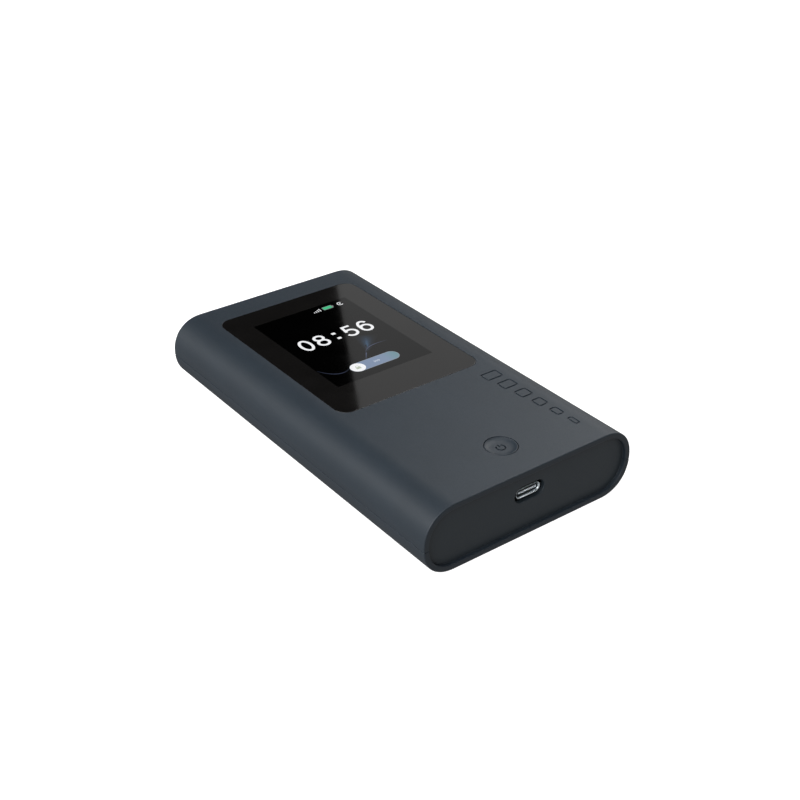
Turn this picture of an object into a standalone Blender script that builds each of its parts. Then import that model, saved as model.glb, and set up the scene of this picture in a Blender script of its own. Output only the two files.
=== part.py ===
"""Mobile hotspot: a pocket router with a small screen, built from its separate pieces.

+X is the width, as the screen is read. +Y points away from the USB-C end, along the length.
+Z is up. The origin is the middle of the footprint, on the face that the back cover rests on.
"""

import math

import bmesh
import bpy

MM = 0.001

# ---- driving dimensions ----
WIDTH = 77.0 * MM
LENGTH = 137.0 * MM
HEIGHT = 22.1 * MM
SIDE_POWER = 2.2  # 2 makes the rounded sides half circles, more makes them squarer
WALL = 1.8 * MM
GAP = 0.3 * MM  # clearance between neighbouring pieces
PARTING_Z = 10.2 * MM  # lower edge of the upper shell
PANEL_RECESS = 1.25 * MM  # how far the end panels sit behind the rims
PANEL_THICKNESS = 1.6 * MM

GLASS_WIDTH = 53.2 * MM
GLASS_LENGTH = 72.9 * MM
GLASS_THICKNESS = 1.1 * MM
GLASS_RADIUS = 4.5 * MM
GLASS_CENTRE_Y = 22.55 * MM

BUTTON_Y = -54.3 * MM
BUTTON_RADIUS = 4.9 * MM
BUTTON_TRAVEL = 0.35 * MM

USB_Z = 13.5 * MM
USB_WIDTH = 8.94 * MM
USB_HEIGHT = 3.26 * MM
USB_FRONT_Y = -66.45 * MM
USB_DEPTH = 7.35 * MM
USB_CUTOUT = (11.0 * MM, 5.2 * MM)

CHASSIS_Z = (10.3 * MM, 11.5 * MM)
BOARD_Z = (15.45 * MM, 16.45 * MM)
BATTERY_SIZE = (60.0 * MM, 80.0 * MM, 7.0 * MM)
BATTERY_LOW_Y = -22.2 * MM
BATTERY_LOW_Z = 2.6 * MM

# ---- worked out from them ----
SIDE_RADIUS = HEIGHT / 2
SIDE_CENTRE_X = WIDTH / 2 - SIDE_RADIUS
END_Y = LENGTH / 2
COVER_TOP_Z = PARTING_Z - GAP
PANEL_OUTER_Y = END_Y - PANEL_RECESS
PANEL_INNER_Y = PANEL_OUTER_Y - PANEL_THICKNESS
CEILING_Z = HEIGHT - WALL
BATTERY_HIGH_Y = BATTERY_LOW_Y + BATTERY_SIZE[1]
CHASSIS_SCREWS = [(x * MM, y * MM) for x in (-29.5, 29.5) for y in (-58.0, 62.0)]
BOARD_SCREWS = [(x * MM, 20.0 * MM) for x in (-29.5, 29.5)]
SIDE_STEPS = 10
ROUND_STEPS = 40

# name: colour, roughness, metallic
FINISHES = {
    "body_plastic": ((0.062, 0.074, 0.088), 0.62, 0.0),
    "panel_plastic": ((0.026, 0.031, 0.036), 0.55, 0.0),
    "inner_plastic": ((0.03, 0.03, 0.032), 0.6, 0.0),
    "cover_glass": ((0.01, 0.01, 0.011), 0.06, 0.0),
    "screen": ((0.005, 0.005, 0.006), 0.2, 0.0),
    "steel": ((0.62, 0.62, 0.6), 0.3, 1.0),
    "gold_contact": ((0.75, 0.55, 0.22), 0.3, 1.0),
    "circuit_board": ((0.02, 0.09, 0.045), 0.45, 0.0),
    "chip_resin": ((0.02, 0.02, 0.022), 0.5, 0.0),
    "battery_wrap": ((0.05, 0.052, 0.058), 0.5, 0.0),
    "soft_pad": ((0.3, 0.32, 0.34), 0.8, 0.0),
    "flex_film": ((0.45, 0.2, 0.04), 0.4, 0.0),
    "card_plastic": ((0.75, 0.75, 0.73), 0.45, 0.0),
}


# ---- scene ----
def clear_scene():
    for obj in list(bpy.data.objects):
        bpy.data.objects.remove(obj)


def new_collection(name):
    collection = bpy.data.collections.new(name)
    bpy.context.scene.collection.children.link(collection)
    return collection


def new_material(name, colour, roughness, metallic):
    material = bpy.data.materials.new(name)
    material.use_nodes = True
    shader = material.node_tree.nodes["Principled BSDF"]
    shader.inputs["Base Color"].default_value = (*colour, 1.0)
    shader.inputs["Roughness"].default_value = roughness
    shader.inputs["Metallic"].default_value = metallic
    material.diffuse_color = (*colour, 1.0)
    return material


def as_part(obj, finish):
    """Files obj with the parts, in a material of its own."""
    PARTS.objects.link(obj)
    obj.data.materials.clear()
    obj.data.materials.append(new_material(obj.name, *FINISHES[finish]))
    obj.data.shade_smooth()
    obj.data.set_sharp_from_angle(angle=math.radians(35))
    return obj


def as_cutter(obj):
    CUTTERS.objects.link(obj)
    obj.hide_render = True
    obj.display_type = "WIRE"
    return obj


# ---- outlines: lists of points in a plane ----
def arc(centre, radius, start, end, steps):
    """Points on an arc, with the angles in degrees."""
    points = []
    for i in range(steps + 1):
        angle = math.radians(start + (end - start) * i / steps)
        points.append((centre[0] + radius * math.cos(angle), centre[1] + radius * math.sin(angle)))
    return points


def circle(radius, centre=(0, 0), steps=ROUND_STEPS):
    return arc(centre, radius, 0, 360, steps)[:-1]


def rounded_rectangle(width, length, radius, centre=(0, 0), steps=5):
    points = []
    for corner in range(4):
        sign_x = 1 if corner in (0, 3) else -1
        sign_y = 1 if corner in (0, 1) else -1
        middle = (
            centre[0] + sign_x * (width / 2 - radius),
            centre[1] + sign_y * (length / 2 - radius),
        )
        points += arc(middle, radius, 90 * corner, 90 * corner + 90, steps)
    return points


def rectangle_between(x0, x1, y0, y1, radius=0.5 * MM, steps=2):
    middle = ((x0 + x1) / 2, (y0 + y1) / 2)
    return rounded_rectangle(x1 - x0, y1 - y0, radius, middle, steps)


def side_angle(inset, z):
    """The angle at which the rounded side, inset from the outside, has height z."""
    rise = max(-1.0, min(1.0, (z - SIDE_RADIUS) / (SIDE_RADIUS - inset)))
    return math.asin(math.copysign(abs(rise) ** (SIDE_POWER / 2), rise))


def side_points(inset, z_low, z_high, steps=SIDE_STEPS):
    """Points (x, z) up the right-hand side between two heights, inset from the outside."""
    radius = SIDE_RADIUS - inset
    low, high = side_angle(inset, z_low), side_angle(inset, z_high)
    angles = [low + (high - low) * i / steps for i in range(steps + 1)]
    if low < 0 < high:
        widest = min(range(1, steps), key=lambda i: abs(angles[i]))
        angles[widest] = 0.0
    points = []
    for angle in angles:
        across = abs(math.cos(angle)) ** (2 / SIDE_POWER)
        up = math.copysign(abs(math.sin(angle)) ** (2 / SIDE_POWER), angle)
        points.append((SIDE_CENTRE_X + radius * across, SIDE_RADIUS + radius * up))
    return points


def mirrored(points):
    """The same points on the left-hand side, in the same order."""
    return [(-x, z) for x, z in points]


# ---- solids ----
def solid_mesh(obj, name):
    """A mesh object with the shape that obj evaluates to. obj is removed."""
    bpy.context.view_layer.update()
    depsgraph = bpy.context.evaluated_depsgraph_get()
    mesh = bpy.data.meshes.new_from_object(obj.evaluated_get(depsgraph))
    mesh.name = name
    solid = bmesh.new()
    solid.from_mesh(mesh)
    bmesh.ops.remove_doubles(solid, verts=solid.verts, dist=1e-6)
    bmesh.ops.recalc_face_normals(solid, faces=solid.faces)
    solid.to_mesh(mesh)
    solid.free()
    place = obj.matrix_world.copy()
    bpy.data.objects.remove(obj)
    result = bpy.data.objects.new(name, mesh)
    result.matrix_world = place
    return result


def prism(name, outlines, low, high, along="Z"):
    """A flat outline, with any further outlines as holes, extruded from low to high.

    Along Z an outline's points are (x, y), and along Y they are (x, z).
    """
    curve = bpy.data.curves.new(name, "CURVE")
    curve.dimensions = "2D"
    curve.fill_mode = "BOTH"
    curve.extrude = (high - low) / 2
    for outline in outlines:
        spline = curve.splines.new("POLY")
        spline.points.add(len(outline) - 1)
        for point, (a, b) in zip(spline.points, outline):
            point.co = (a, b, 0, 1)
        spline.use_cyclic_u = True
    obj = bpy.data.objects.new(name, curve)
    bpy.context.scene.collection.objects.link(obj)
    middle = (low + high) / 2
    if along == "Y":
        obj.rotation_euler = (math.pi / 2, 0, 0)
        obj.location = (0, middle, 0)
    else:
        obj.location = (0, 0, middle)
    return solid_mesh(obj, name)


def box(name, x, y, z, radius=0.4 * MM):
    """A block between pairs of x, y and z, with its upright edges rounded."""
    return prism(name, [rectangle_between(*x, *y, radius)], *z)


def cylinder(name, centre, radius, z, steps=ROUND_STEPS):
    return prism(name, [circle(radius, centre, steps)], *z)


def turned(name, profile, centre, steps=ROUND_STEPS):
    """A turned solid. The profile's (radius, z) points run from the top, down the outside."""
    mesh = bpy.data.meshes.new(name)
    shape = bmesh.new()
    corners = [shape.verts.new((radius, 0, z)) for radius, z in profile]
    for first, second in zip(corners, corners[1:]):
        shape.edges.new((first, second))
    shape.to_mesh(mesh)
    shape.free()
    obj = bpy.data.objects.new(name, mesh)
    bpy.context.scene.collection.objects.link(obj)
    screw = obj.modifiers.new("Turn", "SCREW")
    screw.steps = steps
    screw.render_steps = steps
    screw.use_merge_vertices = True
    screw.merge_threshold = 1e-6
    obj.location = (*centre, 0)
    return solid_mesh(obj, name)


def sheet(name, path, x, thickness):
    """A bent sheet: a (y, z) path carried across from one x to the other."""
    mesh = bpy.data.meshes.new(name)
    shape = bmesh.new()
    corners = [shape.verts.new((x[0], y, z)) for y, z in path]
    edges = [shape.edges.new(pair) for pair in zip(corners, corners[1:])]
    swept = bmesh.ops.extrude_edge_only(shape, edges=edges)["geom"]
    moved = [v for v in swept if isinstance(v, bmesh.types.BMVert)]
    bmesh.ops.translate(shape, verts=moved, vec=(x[1] - x[0], 0, 0))
    shape.to_mesh(mesh)
    shape.free()
    obj = bpy.data.objects.new(name, mesh)
    bpy.context.scene.collection.objects.link(obj)
    solidify = obj.modifiers.new("Thickness", "SOLIDIFY")
    solidify.thickness = thickness
    solidify.offset = 0
    return solid_mesh(obj, name)


def combine(obj, other, operation):
    """Adds other to obj, or cuts it out, with a Boolean modifier."""
    modifier = obj.modifiers.new(other.name, "BOOLEAN")
    modifier.operation = operation
    modifier.solver = "EXACT"
    modifier.object = as_cutter(other)


def join(obj, other):
    combine(obj, other, "UNION")


def cut(obj, other):
    combine(obj, other, "DIFFERENCE")


def soften(obj, width, segments=2):
    bevel = obj.modifiers.new("Edges", "BEVEL")
    bevel.width = width
    bevel.segments = segments
    bevel.limit_method = "ANGLE"
    bevel.angle_limit = math.radians(50)
    return obj


# ---- casing ----
LEDGE_Z = CEILING_Z - 1.2 * MM
WINDOW = (-24.2 * MM, 24.2 * MM, -11.5 * MM, 56.6 * MM)
BOSS_RADIUS = 2.5 * MM
BORE_RADIUS = 1.3 * MM
INTO_WALL = 0.6 * MM


def make_upper_shell():
    outer = side_points(0, PARTING_Z, HEIGHT)
    inner = side_points(WALL, PARTING_Z, CEILING_Z)
    section = outer + mirrored(outer)[::-1] + mirrored(inner) + inner[::-1]
    shell = prism("upper_shell", [section], -END_Y, END_Y, along="Y")

    ledge = rectangle_between(-29.0 * MM, 29.0 * MM, -16.3 * MM, 61.4 * MM, 5.0 * MM, 5)
    join(shell, prism("screen_ledge", [ledge], LEDGE_Z, CEILING_Z + INTO_WALL))
    for i, place in enumerate(CHASSIS_SCREWS):
        low = CHASSIS_Z[1] + GAP
        join(shell, cylinder(f"chassis_boss_{i + 1}", place, BOSS_RADIUS, (low, CEILING_Z + INTO_WALL), 20))
    for i, place in enumerate(BOARD_SCREWS):
        low = BOARD_Z[1] + GAP
        join(shell, cylinder(f"board_boss_{i + 1}", place, BOSS_RADIUS, (low, CEILING_Z + INTO_WALL), 20))

    pocket = rounded_rectangle(
        GLASS_WIDTH + 2 * GAP, GLASS_LENGTH + 2 * GAP, GLASS_RADIUS + GAP, (0, GLASS_CENTRE_Y)
    )
    above = HEIGHT + 1 * MM
    below = CHASSIS_Z[0]
    cut(shell, prism("glass_pocket", [pocket], CEILING_Z, above))
    cut(shell, prism("screen_window", [rectangle_between(*WINDOW, 2.0 * MM, 4)], LEDGE_Z - 1 * MM, above))
    cut(shell, cylinder("button_hole", (0, BUTTON_Y), BUTTON_RADIUS + GAP, (LEDGE_Z, above)))
    for i, place in enumerate(CHASSIS_SCREWS + BOARD_SCREWS):
        cut(shell, cylinder(f"screw_bore_{i + 1}", place, BORE_RADIUS, (below, 19.0 * MM), 16))
    as_part(shell, "body_plastic")


LIP_INSET = (WALL + GAP, WALL + GAP + 0.9 * MM)
LIP_TOP_Z = 11.6 * MM
LIP_END_Y = PANEL_INNER_Y - 0.35 * MM
HOOK_TOP_Z = 13.3 * MM
HOOK_LENGTH = 8.0 * MM


def lip_section(outer_inset, z_low, z_step, z_high):
    """Outline (x, z) of the lip inside the seam, rooted in the cover's wall below z_step."""
    root = side_points(WALL - 0.6 * MM, z_low, z_step, 2)
    outside = side_points(outer_inset, z_step, z_high, 3)
    inside = side_points(LIP_INSET[1], z_low + 0.8 * MM, z_high, 3)
    return root + outside + inside[::-1]


def make_back_cover():
    outer = side_points(0, 0, COVER_TOP_Z)
    inner = side_points(WALL, WALL, COVER_TOP_Z)
    section = mirrored(outer)[::-1] + outer + inner[::-1] + mirrored(inner)
    cover = prism("back_cover", [section], -END_Y, END_Y, along="Y")

    lip = lip_section(LIP_INSET[0], 7.8 * MM, 9.6 * MM, LIP_TOP_Z)
    hook = lip_section(LIP_INSET[0] + 0.2 * MM, 8.2 * MM, 9.6 * MM, HOOK_TOP_Z)
    for side, shape in (("right", lambda points: points), ("left", mirrored)):
        join(cover, prism(f"{side}_lip", [shape(lip)], -LIP_END_Y, LIP_END_Y, along="Y"))
        for i in (-1, 0, 1):
            start = 42.0 * MM * i - HOOK_LENGTH / 2
            name = f"{side}_hook_{i + 2}"
            join(cover, prism(name, [shape(hook)], start, start + HOOK_LENGTH, along="Y"))
    notch = box(
        "fingernail_notch",
        (WIDTH / 2 - 1.1 * MM, WIDTH / 2 + 1 * MM),
        (48.0 * MM, 60.0 * MM),
        (COVER_TOP_Z - 0.9 * MM, COVER_TOP_Z + 1 * MM),
    )
    cut(cover, notch)
    as_part(cover, "body_plastic")


def make_end_panels():
    side = side_points(WALL + GAP, WALL + GAP, HEIGHT - WALL - GAP, 2 * SIDE_STEPS)
    outline = side + mirrored(side)[::-1]
    socket = rounded_rectangle(*USB_CUTOUT, USB_CUTOUT[1] / 2, (0, USB_Z), 6)
    front = prism("front_end_panel", [outline, socket], -PANEL_OUTER_Y, -PANEL_INNER_Y, along="Y")
    rear = prism("rear_end_panel", [outline], PANEL_INNER_Y, PANEL_OUTER_Y, along="Y")
    as_part(front, "panel_plastic")
    as_part(rear, "panel_plastic")


# ---- screen ----
def make_screen():
    outline = rounded_rectangle(GLASS_WIDTH, GLASS_LENGTH, GLASS_RADIUS, (0, GLASS_CENTRE_Y), 6)
    as_part(prism("cover_glass", [outline], HEIGHT - GLASS_THICKNESS, HEIGHT), "cover_glass")

    tape_outer = rounded_rectangle(
        GLASS_WIDTH - 0.8 * MM, GLASS_LENGTH - 0.8 * MM, GLASS_RADIUS, (0, GLASS_CENTRE_Y)
    )
    tape_inner = rectangle_between(
        WINDOW[0] - 0.4 * MM, WINDOW[1] + 0.4 * MM, WINDOW[2] - 0.4 * MM, WINDOW[3] + 0.4 * MM, 2.0 * MM, 4
    )
    tape = prism("glass_adhesive", [tape_outer, tape_inner], CEILING_Z + 0.25 * MM, CEILING_Z + 0.45 * MM)
    as_part(tape, "soft_pad")

    panel = box("display_panel", (-20.9 * MM, 20.9 * MM), (-5.0 * MM, 52.0 * MM), (19.9 * MM, 20.7 * MM))
    as_part(panel, "screen")
    light = box("display_backlight", (-21.4 * MM, 21.4 * MM), (-8.0 * MM, 52.4 * MM), (17.6 * MM, 19.6 * MM))
    as_part(light, "card_plastic")

    start, bend, finish = -8.3 * MM, -10.3 * MM, -13.7 * MM
    high, low = 18.9 * MM, 17.2 * MM
    path = [(start, high)]
    for i in range(7):
        along = i / 6
        fall = along * along * (3 - 2 * along)
        path.append((bend - 2.2 * MM * along, high + (low - high) * fall))
    path.append((finish, low))
    as_part(sheet("display_flex", path, (-7.0 * MM, 7.0 * MM), 0.25 * MM), "flex_film")
    plug = box("display_connector", (-8.0 * MM, 8.0 * MM), (-18.5 * MM, -14.0 * MM), (16.75 * MM, 17.75 * MM))
    as_part(plug, "inner_plastic")


# ---- power button and its switch ----
BUTTON_TOP_Z = 22.05 * MM
FLANGE_RADIUS = 6.2 * MM
FLANGE_Z = (19.6 * MM, CEILING_Z - GAP)
NUB_Z = 19.3 * MM
NUB_RADIUS = 1.5 * MM
DISH_DEPTH = 0.7 * MM
DISH_RADIUS = 4.4 * MM


def make_power_button():
    profile = []
    for i in range(7):
        share = i / 6
        profile.append((DISH_RADIUS * share, BUTTON_TOP_Z - DISH_DEPTH * (1 - share * share)))
    edge = BUTTON_RADIUS - DISH_RADIUS
    profile += arc((DISH_RADIUS, BUTTON_TOP_Z - edge), edge, 90, 0, 4)[1:]
    profile += [
        (BUTTON_RADIUS, FLANGE_Z[1]),
        (FLANGE_RADIUS, FLANGE_Z[1]),
        (FLANGE_RADIUS, FLANGE_Z[0]),
        (NUB_RADIUS, FLANGE_Z[0]),
        (NUB_RADIUS, NUB_Z),
        (0, NUB_Z),
    ]
    as_part(turned("power_button", profile, (0, BUTTON_Y)), "body_plastic")


def make_switch(name, centre, base_z, plunger_z, size, radius, down):
    """A small push switch: a base with a blind hole, and the plunger that moves in it."""
    half = size / 2
    base = box(
        f"{name}_base",
        (centre[0] - half, centre[0] + half),
        (centre[1] - half, centre[1] + half),
        base_z,
    )
    floor = 0.35 * MM
    beyond = 1 * MM
    hole_z = (base_z[0] - beyond, base_z[1] - floor) if down else (base_z[0] + floor, base_z[1] + beyond)
    cut(base, cylinder(f"{name}_hole", centre, radius + GAP, hole_z, 20))
    as_part(base, "steel")
    as_part(cylinder(f"{name}_plunger", centre, radius, plunger_z, 20), "inner_plastic")


# ---- circuit board ----
def make_main_board():
    outline = rectangle_between(-33.0 * MM, 33.0 * MM, -65.0 * MM, 42.0 * MM, 2.5 * MM, 4)
    passing = [circle(BOSS_RADIUS + 0.5 * MM, place, 20) for place in CHASSIS_SCREWS if place[1] < 0]
    fixing = [circle(BORE_RADIUS, place, 16) for place in BOARD_SCREWS]
    as_part(prism("main_board", [outline, *passing, *fixing], *BOARD_Z), "circuit_board")


UNDER_BOARD_Z = BOARD_Z[0] - GAP
SHIELD_LOW_Z = 12.6 * MM
CHIP_LOW_Z = 13.6 * MM
# name: x, y, of each chip on the underside of the board, in mm
CHIPS = {
    "modem_chip": ((-28.0, -13.0), (-30.0, -15.0)),
    "memory_chip": ((-27.0, -18.0), (-13.5, -5.5)),
    "wifi_chip": ((13.0, 22.0), (-31.0, -22.0)),
    "power_chip": ((13.0, 19.0), (-20.0, -14.0)),
}
SHIELDS = {
    "modem_shield": ((-31.0, -10.0), (-33.0, -3.0)),
    "radio_shield": ((10.0, 31.0), (-33.0, -10.0)),
}


def in_metres(pair):
    return tuple(value * MM for value in pair)


def make_board_parts():
    for name, (x, y) in CHIPS.items():
        as_part(box(name, in_metres(x), in_metres(y), (CHIP_LOW_Z, UNDER_BOARD_Z), 0.2 * MM), "chip_resin")
    coil = box("charging_coil", (-12.0 * MM, -7.5 * MM), (-57.0 * MM, -52.5 * MM), (13.0 * MM, UNDER_BOARD_Z))
    as_part(coil, "chip_resin")
    sheet_metal = 0.35 * MM
    for name, (x, y) in SHIELDS.items():
        (x0, x1), (y0, y1) = in_metres(x), in_metres(y)
        can = box(name, (x0, x1), (y0, y1), (SHIELD_LOW_Z, UNDER_BOARD_Z), 1.0 * MM)
        inside = box(
            f"{name}_inside",
            (x0 + sheet_metal, x1 - sheet_metal),
            (y0 + sheet_metal, y1 - sheet_metal),
            (SHIELD_LOW_Z + sheet_metal, BOARD_Z[0]),
            0.8 * MM,
        )
        cut(can, inside)
        as_part(can, "steel")
    pad_z = (CHASSIS_Z[1] + GAP, SHIELD_LOW_Z - GAP)
    as_part(box("thermal_pad", (-28.0 * MM, -13.0 * MM), (-30.0 * MM, -6.0 * MM), pad_z), "soft_pad")


# ---- USB-C socket ----
def make_usb_socket():
    metal = 0.3 * MM
    back_y = USB_FRONT_Y + USB_DEPTH
    outer = rounded_rectangle(USB_WIDTH, USB_HEIGHT, USB_HEIGHT / 2, (0, USB_Z), 6)
    inner_height = USB_HEIGHT - 2 * metal
    inner = rounded_rectangle(USB_WIDTH - 2 * metal, inner_height, inner_height / 2, (0, USB_Z), 6)
    as_part(prism("usb_c_shell", [outer, inner], USB_FRONT_Y, back_y, along="Y"), "steel")

    plug_height = inner_height - 2 * 0.25 * MM
    plug = rounded_rectangle(USB_WIDTH - 2 * metal - 0.5 * MM, plug_height, plug_height / 2, (0, USB_Z), 5)
    insert = prism("usb_c_insert", [plug], back_y - 1.6 * MM, back_y - 0.2 * MM, along="Y")
    tongue = rounded_rectangle(6.7 * MM, 0.7 * MM, 0.2 * MM, (0, USB_Z), 2)
    tongue_front = USB_FRONT_Y + 0.7 * MM
    join(insert, prism("usb_c_tongue", [tongue], tongue_front, back_y - 1.0 * MM, along="Y"))
    as_part(insert, "inner_plastic")


# ---- SIM card and its socket ----
SIM_X = 19.0 * MM
SIM_SOCKET_Y = (-52.0 * MM, -38.0 * MM)
SIM_SOCKET_Z = (13.05 * MM, UNDER_BOARD_Z)
CARD_SIZE = (8.8 * MM, 12.3 * MM, 0.67 * MM)
CARD_FRONT_Y = -54.5 * MM
CARD_LOW_Z = 13.75 * MM


def make_sim():
    half = 6.2 * MM
    socket = box("sim_socket", (SIM_X - half, SIM_X + half), SIM_SOCKET_Y, SIM_SOCKET_Z)
    slot_half = CARD_SIZE[0] / 2 + GAP
    slot = box(
        "sim_slot",
        (SIM_X - slot_half, SIM_X + slot_half),
        (SIM_SOCKET_Y[0] - 1 * MM, CARD_FRONT_Y + CARD_SIZE[1] + GAP),
        (CARD_LOW_Z - GAP, CARD_LOW_Z + CARD_SIZE[2] + GAP),
        0.2 * MM,
    )
    cut(socket, slot)
    as_part(socket, "steel")

    left, right = SIM_X - CARD_SIZE[0] / 2, SIM_X + CARD_SIZE[0] / 2
    front, back = CARD_FRONT_Y, CARD_FRONT_Y + CARD_SIZE[1]
    clipped = 1.6 * MM
    outline = [(left, front), (right, front), (right, back - clipped), (right - clipped, back), (left, back)]
    card = prism("sim_card", [outline], CARD_LOW_Z, CARD_LOW_Z + CARD_SIZE[2])
    as_part(card, "card_plastic")


# ---- chassis and battery ----
RIB_LOW_Z = 5.5 * MM
RIB_THICKNESS = 1.0 * MM
RIB_ROOT = 0.4 * MM  # how far the rib runs into the chassis plate
CONTACT_BLOCK = (-7.2 * MM, 7.2 * MM, -28.0 * MM, -23.5 * MM)
SIM_WINDOW = (12.0 * MM, 26.0 * MM, -64.0 * MM, -36.0 * MM)
RESET_PLACE = (-16.0 * MM, -48.0 * MM)


def make_chassis():
    outline = rectangle_between(
        -34.8 * MM, 34.8 * MM, -PANEL_INNER_Y + 0.45 * MM, PANEL_INNER_Y - 0.45 * MM, 3.0 * MM, 4
    )
    x0, x1, y0, y1 = CONTACT_BLOCK
    windows = [
        rectangle_between(x0 - GAP, x1 + GAP, y0 - GAP, y1 + GAP),
        rectangle_between(*SIM_WINDOW, 1.5 * MM, 3),
        circle(1.6 * MM, RESET_PLACE, 20),
    ]
    holes = [circle(BORE_RADIUS, place, 16) for place in CHASSIS_SCREWS]
    chassis = prism("chassis", [outline, *windows, *holes], *CHASSIS_Z)

    clear = 0.4 * MM
    half_x = BATTERY_SIZE[0] / 2 + clear
    bay = (-half_x, half_x, BATTERY_LOW_Y - clear, BATTERY_HIGH_Y + clear)
    rib = (bay[0] - RIB_THICKNESS, bay[1] + RIB_THICKNESS, bay[2] - RIB_THICKNESS, bay[3] + RIB_THICKNESS)
    ring = prism(
        "battery_rib",
        [rectangle_between(*rib, 1.5 * MM), rectangle_between(*bay, 1.0 * MM)],
        RIB_LOW_Z,
        CHASSIS_Z[0] + RIB_ROOT,
    )
    join(chassis, ring)
    gate_half = 10.0 * MM
    gate = box(
        "contact_gate",
        (-gate_half, gate_half),
        (rib[2] - GAP, bay[2] + GAP),
        (RIB_LOW_Z - GAP, CHASSIS_Z[0] + RIB_ROOT),
        0.1 * MM,
    )
    cut(chassis, gate)
    as_part(chassis, "inner_plastic")


def make_battery():
    half_x = BATTERY_SIZE[0] / 2
    pack = box(
        "battery_pack",
        (-half_x, half_x),
        (BATTERY_LOW_Y, BATTERY_HIGH_Y),
        (BATTERY_LOW_Z, BATTERY_LOW_Z + BATTERY_SIZE[2]),
        2.0 * MM,
    )
    as_part(soften(pack, 0.8 * MM), "battery_wrap")

    x0, x1, y0, y1 = CONTACT_BLOCK
    block = box("battery_contact_block", (x0, x1), (y0, y1), (4.6 * MM, UNDER_BOARD_Z))
    as_part(block, "inner_plastic")
    contact_y = (y1 + GAP, BATTERY_LOW_Y - GAP)
    for i in (-1, 0, 1):
        middle = 4.4 * MM * i
        name = f"battery_contact_{i + 2}"
        blade = box(name, (middle - 0.9 * MM, middle + 0.9 * MM), contact_y, (5.2 * MM, 8.8 * MM), 0.15 * MM)
        as_part(blade, "gold_contact")


# ---- antennas: flexible strips on the inside of the upper shell's sides ----
ANTENNAS = {"cellular_antenna": (24.0, 58.0), "wifi_antenna": (-36.0, -8.0)}
CLIP_WIDTH = 2.4 * MM
CLIP_PLACES = {"cellular_clip": 30.0 * MM, "wifi_clip": -20.0 * MM}
# outline of a spring clip that stands on the board's edge and reaches for its antenna, (x, z) in mm
CLIP_OUTLINE = [(30.4, 16.75), (32.6, 16.75), (33.4, 17.1), (33.3, 17.4), (32.5, 17.05), (30.4, 17.05)]


def make_antennas():
    low, high = 14.0 * MM, 19.6 * MM
    outside = side_points(WALL + GAP, low, high, 5)
    inside = side_points(WALL + GAP + 0.3 * MM, low, high, 5)
    strip = outside + inside[::-1]
    for name, span in ANTENNAS.items():
        y0, y1 = in_metres(span)
        as_part(prism(f"{name}_right", [strip], y0, y1, along="Y"), "flex_film")
        as_part(prism(f"{name}_left", [mirrored(strip)], y0, y1, along="Y"), "flex_film")
    clip = [in_metres(point) for point in CLIP_OUTLINE]
    for name, y in CLIP_PLACES.items():
        y0, y1 = y - CLIP_WIDTH / 2, y + CLIP_WIDTH / 2
        as_part(prism(f"{name}_right", [clip], y0, y1, along="Y"), "gold_contact")
        as_part(prism(f"{name}_left", [mirrored(clip)], y0, y1, along="Y"), "gold_contact")


# ---- screws ----
def make_screws(prefix, places, head_low_z, shank_length):
    """Screws that point up, their heads below. They share one mesh, with a six-sided socket."""
    head_height = 1.0 * MM
    shank_radius = 1.0 * MM
    head_radius = 2.0 * MM
    top = head_height + shank_length
    profile = [
        (0, top),
        (shank_radius - 0.3 * MM, top),
        (shank_radius, top - 0.5 * MM),
        (shank_radius, head_height),
        (head_radius, head_height),
        (head_radius, 0.3 * MM),
        (head_radius - 0.4 * MM, 0),
        (0, 0),
    ]
    blank = turned(f"{prefix}_blank", profile, (0, 0), 20)
    bpy.context.scene.collection.objects.link(blank)
    cut(blank, cylinder(f"{prefix}_socket", (0, 0), 0.9 * MM, (-0.5 * MM, 0.55 * MM), 6))
    shared = solid_mesh(blank, f"{prefix}_mesh").data
    for i, (x, y) in enumerate(places):
        screw = bpy.data.objects.new(f"{prefix}_{i + 1}", shared)
        screw.location = (x, y, head_low_z)
        as_part(screw, "steel")


clear_scene()
PARTS = new_collection("mobile_hotspot")
CUTTERS = new_collection("cutters")
make_upper_shell()
make_back_cover()
make_end_panels()
make_screen()
make_power_button()
make_switch(
    "power_switch", (0, BUTTON_Y), (16.75 * MM, 18.35 * MM), (17.5 * MM, NUB_Z - GAP), 6.0 * MM, 1.5 * MM, False
)
make_switch(
    "reset_switch", RESET_PLACE, (13.6 * MM, UNDER_BOARD_Z), (12.9 * MM, 14.4 * MM), 4.2 * MM, 1.0 * MM, True
)
make_main_board()
make_board_parts()
make_usb_socket()
make_sim()
make_chassis()
make_battery()
make_antennas()
make_screws("chassis_screw", CHASSIS_SCREWS, CHASSIS_Z[0] - GAP - 1.0 * MM, 7.0 * MM)
make_screws("board_screw", BOARD_SCREWS, UNDER_BOARD_Z - 1.0 * MM, 3.6 * MM)
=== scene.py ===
import math

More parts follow.
